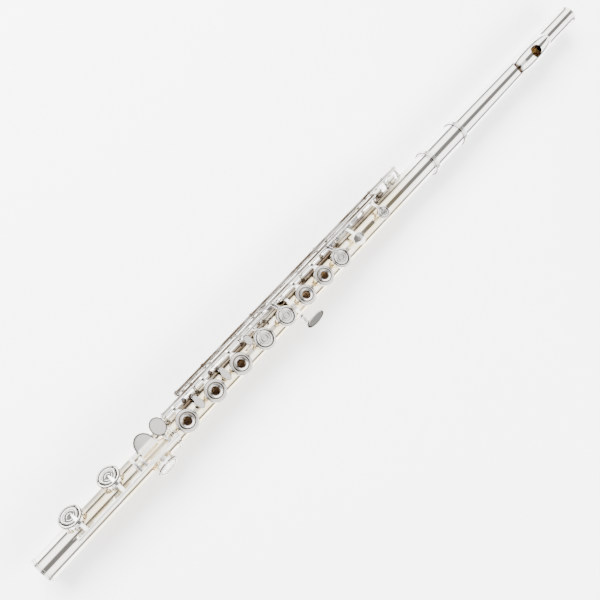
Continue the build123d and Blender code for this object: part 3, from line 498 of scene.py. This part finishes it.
def write_painted_shade(mesh, amount):
    """Writes how much painted shade lies at each point, from a function of the (n, 3) array of places."""
    points = np.empty(len(mesh.vertices) * 3)
    mesh.vertices.foreach_get("co", points)
    layer = mesh.attributes.new("painted_shade_attribute", "FLOAT", "POINT")
    layer.data.foreach_set("value", np.clip(amount(points.reshape(-1, 3)), 0.0, 1.0))


def low_in_beads(crest, height):
    """Painted shade where a bead is lower than its crest by over half its height: 1 at the foot, 0 on top.
    """
    return lambda place: (crest - 0.06 * height - np.hypot(place[:, 1], place[:, 2])) / (0.26 * height)


def beaded(start, width, count, inner, height, steps=9):
    """The outline of round beads side by side on a tube: (x, radius) points."""
    pitch = width / count
    foot_of_bead = inner + height * 0.45
    outline = [(start, inner - 0.1 * MM)]
    for index in range(count):
        turn = np.linspace(0, np.pi, steps)
        middle = start + (index + 0.5) * pitch
        across = middle - 0.5 * pitch * np.cos(turn)
        up = foot_of_bead + (height - height * 0.45) * np.sin(turn) ** 0.8
        outline += list(zip(across, up))
    outline.append((start + width, inner - 0.1 * MM))
    return outline


def disc_frame(node):
    """The middle, the turning axis and two cross directions of a round CAD node, and its points."""
    mesh = frame["nodes"][node].data
    points = np.empty(len(mesh.vertices) * 3)
    mesh.vertices.foreach_get("co", points)
    points = np.unique(points.reshape(-1, 3).round(7), axis=0)
    middle = (points.min(axis=0) + points.max(axis=0)) / 2
    for _ in range(2):
        axes = np.linalg.svd(points - middle, full_matrices=False)[2][::-1]
        local = (points - middle) @ axes.T
        middle = middle + ((local.min(axis=0) + local.max(axis=0)) / 2) @ axes
    return middle, axes, (points - middle) @ axes.T


def is_perforated(local):
    """True where a round pad, given in its own frame, has points at a middle hole's edge."""
    reach = np.hypot(local[:, 1], local[:, 2])
    return bool(reach.min() < 0.7 * reach.max())


def felt_pad(node):
    """A felt pad in its skin. The outline's (radius, height) is turned round the pad's own axis:
    its face swells by (1 - (r/R)^2) and dips where the tone hole's rim has pressed a ring into it."""
    middle, axes, local = disc_frame(node)
    reach = np.hypot(local[:, 1], local[:, 2])
    outer, half = reach.max() - 0.02 * MM, np.abs(local[:, 0]).max()
    shoulder, crest = 0.55 * MM, half - 0.12 * MM
    inner = reach.min() if is_perforated(local) else 0.0
    rim = outer - shoulder
    r = np.linspace(inner + 0.3 * MM if inner else 0.0, rim, 26)
    seat = 0.16 * MM * np.exp(-((r - (outer - 1.0 * MM)) / (0.35 * MM)) ** 2)
    swell = 0.10 * MM * (1 - (r / outer) ** 2)
    face = np.stack([r, crest + swell - seat], axis=1)
    turn = np.radians(np.linspace(90, 0, 7))
    edge = np.stack([rim + shoulder * np.cos(turn), crest - shoulder + shoulder * np.sin(turn)], axis=1)
    upper = np.concatenate([face, edge[1:]])
    lower = (upper * (1, -1))[::-1]
    outline = np.concatenate([upper, lower])
    if inner:
        outline = np.concatenate([outline, [(inner, -half + 0.5 * MM), (inner, half - 0.5 * MM)]])
    steps = 72
    around = np.arange(steps) * 2 * np.pi / steps
    ring = np.stack([np.repeat(outline[:, 1:], steps, axis=1), outline[:, :1] * np.cos(around),
                     outline[:, :1] * np.sin(around)], axis=2)
    points = middle + ring @ axes
    name = node.replace("_pad", "_felt_pad")
    piece = piece_from(name, points, grid_faces(len(outline), steps, True, True), pad_skin)
    mended(piece.data, 1e-7)
    edges_by_angle(piece.data, 50.0)
    finish_piece(piece, body_of_node(node), "pad", node)


def beaded_ring(name, start, width, count, base, height, body, node):
    """Turns a ring of beads, with painted shade low between them."""
    ring = lathe(name, beaded(start, width, count, base, height), turned_silver)
    write_painted_shade(ring.data, low_in_beads(base + height, height))
    finish_piece(ring, body, "silver_plate", node)


lower_barrel_bead_height = 1.2 * MM
upper_barrel_bead_height = 0.85 * MM
barrel_beads_width = 4.2 * MM
foot_end_beads_width, foot_end_bead_height = 3.0 * MM, 0.7 * MM
foot_socket_beads_width, foot_socket_bead_height = 4.0 * MM, 0.8 * MM
barrel_edge = 0.12 * MM
barrel_gap = 0.03 * MM


def make_turned_pieces():
    """The barrel and the beaded rings, each turned on the flute's axis."""
    low, high = (corner.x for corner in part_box("barrel"))
    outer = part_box("barrel")[1].z
    tenon_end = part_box("body_tube")[1].x
    bore = tube_radius + barrel_gap
    outline = [(low, tube_radius), (low, outer - barrel_edge), (low + barrel_edge, outer),
               (high - barrel_edge, outer), (high, outer - barrel_edge), (high, bore),
               (tenon_end, bore), (tenon_end, tube_radius)]
    finish_piece(lathe("turned_barrel", outline, turned_silver), "body", "silver_plate", "barrel")

    low, high = (corner.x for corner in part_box("barrel_rings"))
    beaded_ring("lower_barrel_beads", low, barrel_beads_width, 3, outer, lower_barrel_bead_height,
                "body", "barrel_rings")
    beaded_ring("upper_barrel_beads", high - barrel_beads_width, barrel_beads_width, 3, outer,
                upper_barrel_bead_height, "body", "barrel_rings")

    low, high = (corner.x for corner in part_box("foot_rings"))
    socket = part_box("foot_rings")[1].z - foot_socket_bead_height
    beaded_ring("foot_end_beads", low, foot_end_beads_width, 2, tube_radius, foot_end_bead_height,
                "foot", "foot_rings")
    beaded_ring("foot_socket_beads", high - foot_socket_beads_width, foot_socket_beads_width, 2,
                socket, foot_socket_bead_height, "foot", "foot_rings")


def mark_cup(mesh, pad_node):
    """Gives a key's points their place on its cup: height over the pad in mm, and across and along
    as shares of the cup's radius."""
    middle, axes, local = disc_frame(pad_node)
    if middle[1:] @ axes[0][1:] < 0:
        axes = np.stack([-axes[0], axes[1], axes[2]])
    cup_radius = np.hypot(local[:, 1], local[:, 2]).max() + 0.55 * MM
    points = np.empty(len(mesh.vertices) * 3)
    mesh.vertices.foreach_get("co", points)
    place = (points.reshape(-1, 3) - middle) @ axes.T / (MM, cup_radius, cup_radius)
    mesh.attributes.new("cup_place", "FLOAT_VECTOR", "POINT").data.foreach_set("vector", place.ravel())
    return is_perforated(local)


make_turned_pieces()
slots = {entry["node"]: entry["material_slot"] for entry in record["subparts"]}
finish_of_slot = {"silver_plate": key_silver, "steel": steel, "brass": brass,
                  "pad": pad_skin, "cork": cork_grain}
tubes = ("body_tube", "foot_tube", "head_tube")
for node in sorted(frame["nodes"]):
    if node in ("barrel", "barrel_rings", "foot_rings"):
        continue
    if node.endswith("_pad"):
        felt_pad(node)
        continue
    finish = finish_of_slot[slots[node]]
    if "springs" in node:
        finish = blued_steel
    if node in tubes or node in ("body_rib", "foot_rib", "lip_plate"):
        finish = tube_silver
    piece = polished(node, body_of_node(node), finish, slots[node])
    if node == "b_flat_shake_key":
        piece.data.materials[0] = shake_silver
    if node == "lip_plate":
        lip_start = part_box(node)[0].x
        piece.data.materials[0] = lip_silver
        # Painted shade at the lip plate's foot-side end: full for 1.5 mm, then fading out over 3 mm.
        write_painted_shade(piece.data, lambda place: 1.0 - (place[:, 0] - lip_start - 1.5 * MM) / (3.0 * MM))
    pad_node = node.replace("_key", "_pad")
    if node.endswith("_key") and pad_node in frame["nodes"]:
        perforated = mark_cup(piece.data, pad_node)
        plain = trill_silver if "trill" in node else plain_cup_silver
        piece.data.materials[0] = open_cup_silver if perforated else plain


# ---------------------------------------------------------------- floor, light and camera

def floor_finish():
    """A pale matt sheet with the faintest grain."""
    material = bpy.data.materials.new("pale_sheet")
    tree, shader = nodes_of(material)
    place = tree.nodes.new("ShaderNodeTexCoord").outputs["Object"]
    tree.links.new(blended(tree, noise(tree, place, 6.0, 2.0), (0.80, 0.80, 0.805), (0.83, 0.83, 0.83)),
                   shader.inputs["Base Color"])
    shader.inputs["Roughness"].default_value = 0.85
    shader.inputs["Specular IOR Level"].default_value = 0.2
    return material


def make_floor():
    """A wide pale floor just under the lowest point of the flute."""
    level = cad_box[0].z - 0.2 * MM
    half = 3.0
    corners = [(-half, -half, level), (half, -half, level), (half, half, level), (-half, half, level)]
    floor = piece_from("floor", corners, [(0, 1, 2, 3)], floor_finish(), smooth=False)


tent_white = 0.75           # brightness of the tent's white cloth, as a share of its full strength
tent_strength = 6.0
roof_slot = (16.0, 24.0)    # degrees from overhead over which the roof's slot gives way to cloth
skirt = (60.0, 76.0)        # degrees from overhead over which the cloth gives way to the grey skirt
skirt_share = 0.08
slot_over_ends = 0.04       # how bright the slot is over the foot and the head
slot_over_keys = 0.25


def make_tent():
    """A white studio tent over the flute: a slot along its roof for the camera, and a grey skirt round
    its foot. Its brightness goes by the angle from overhead, alike on both sides."""
    world = bpy.data.worlds.new("studio_tent")
    bpy.context.scene.world = world
    world.use_nodes = True
    tree = world.node_tree
    tree.nodes.clear()
    output = tree.nodes.new("ShaderNodeOutputWorld")
    background = tree.nodes.new("ShaderNodeBackground")
    tree.links.new(background.outputs[0], output.inputs[0])
    split = tree.nodes.new("ShaderNodeSeparateXYZ")
    tree.links.new(tree.nodes.new("ShaderNodeTexCoord").outputs["Generated"], split.inputs[0])
    x, y, z = split.outputs
    angle = maths(tree, "ABSOLUTE", maths(tree, "ARCTAN2", y, z), 0.0)
    from_overhead = maths(tree, "MULTIPLY", angle, 180 / math.pi)
    over_keys = maths(tree, "MULTIPLY", ranged(tree, x, 0.05, 0.12, 0.0, 1.0),
                      ranged(tree, x, 0.40, 0.47, 1.0, 0.0))
    slot = ranged(tree, over_keys, 0.0, 1.0, slot_over_ends, slot_over_keys)
    cloth = ranged(tree, from_overhead, *roof_slot, 0.0, 1.0)
    roof = maths(tree, "ADD", slot, maths(tree, "MULTIPLY", cloth,
                                          maths(tree, "SUBTRACT", tent_white, slot)))
    brightness = maths(tree, "MULTIPLY", roof, ranged(tree, from_overhead, *skirt, 1.0, skirt_share))
    tree.links.new(blended(tree, brightness, (0.010, 0.008, 0.006), (1.0, 0.99, 0.97)),
                   background.inputs["Color"])
    background.inputs["Strength"].default_value = tent_strength


def softbox(name, place, target, size, power):
    """A square studio softbox that faces a target."""
    light = bpy.data.lights.new(name, "AREA")
    light.shape = "RECTANGLE"
    light.size, light.size_y = size
    light.energy = power
    lamp = bpy.data.objects.new(name, light)
    lamp.location = place
    lamp.visible_glossy = False
    lamp.rotation_euler = (Vector(target) - Vector(place)).to_track_quat("-Z", "Y").to_euler()
    bpy.context.scene.collection.objects.link(lamp)


camera_place = Vector((0.045, 0.090, 0.577))
camera_aim = Vector((0.266, -0.001, 0.0))
camera_roll = 67.3          # degrees
camera_lens = 48.0          # mm, on a 36 mm sensor


def make_camera():
    """The camera stands above the foot and looks along the flute, a little from the player's side."""
    camera = bpy.data.cameras.new("camera")
    camera.sensor_width = 36.0
    camera.lens = camera_lens
    camera.clip_start, camera.clip_end = 0.01, 20.0
    view = bpy.data.objects.new("camera", camera)
    look = (camera_aim - camera_place).to_track_quat("-Z", "Y").to_matrix()
    turn = look @ Matrix.Rotation(math.radians(camera_roll), 3, "Z")
    view.matrix_world = Matrix.Translation(camera_place) @ turn.to_4x4()
    bpy.context.scene.collection.objects.link(view)
    bpy.context.scene.camera = view


make_floor()
make_tent()
softbox("key_light", (0.15, 0.95, 0.95), (0.33, 0.0, 0.0), (1.0, 0.7), 120.0)
softbox("fill_light", (0.55, -0.9, 0.8), (0.33, 0.0, 0.0), (1.2, 0.5), 45.0)
make_camera()
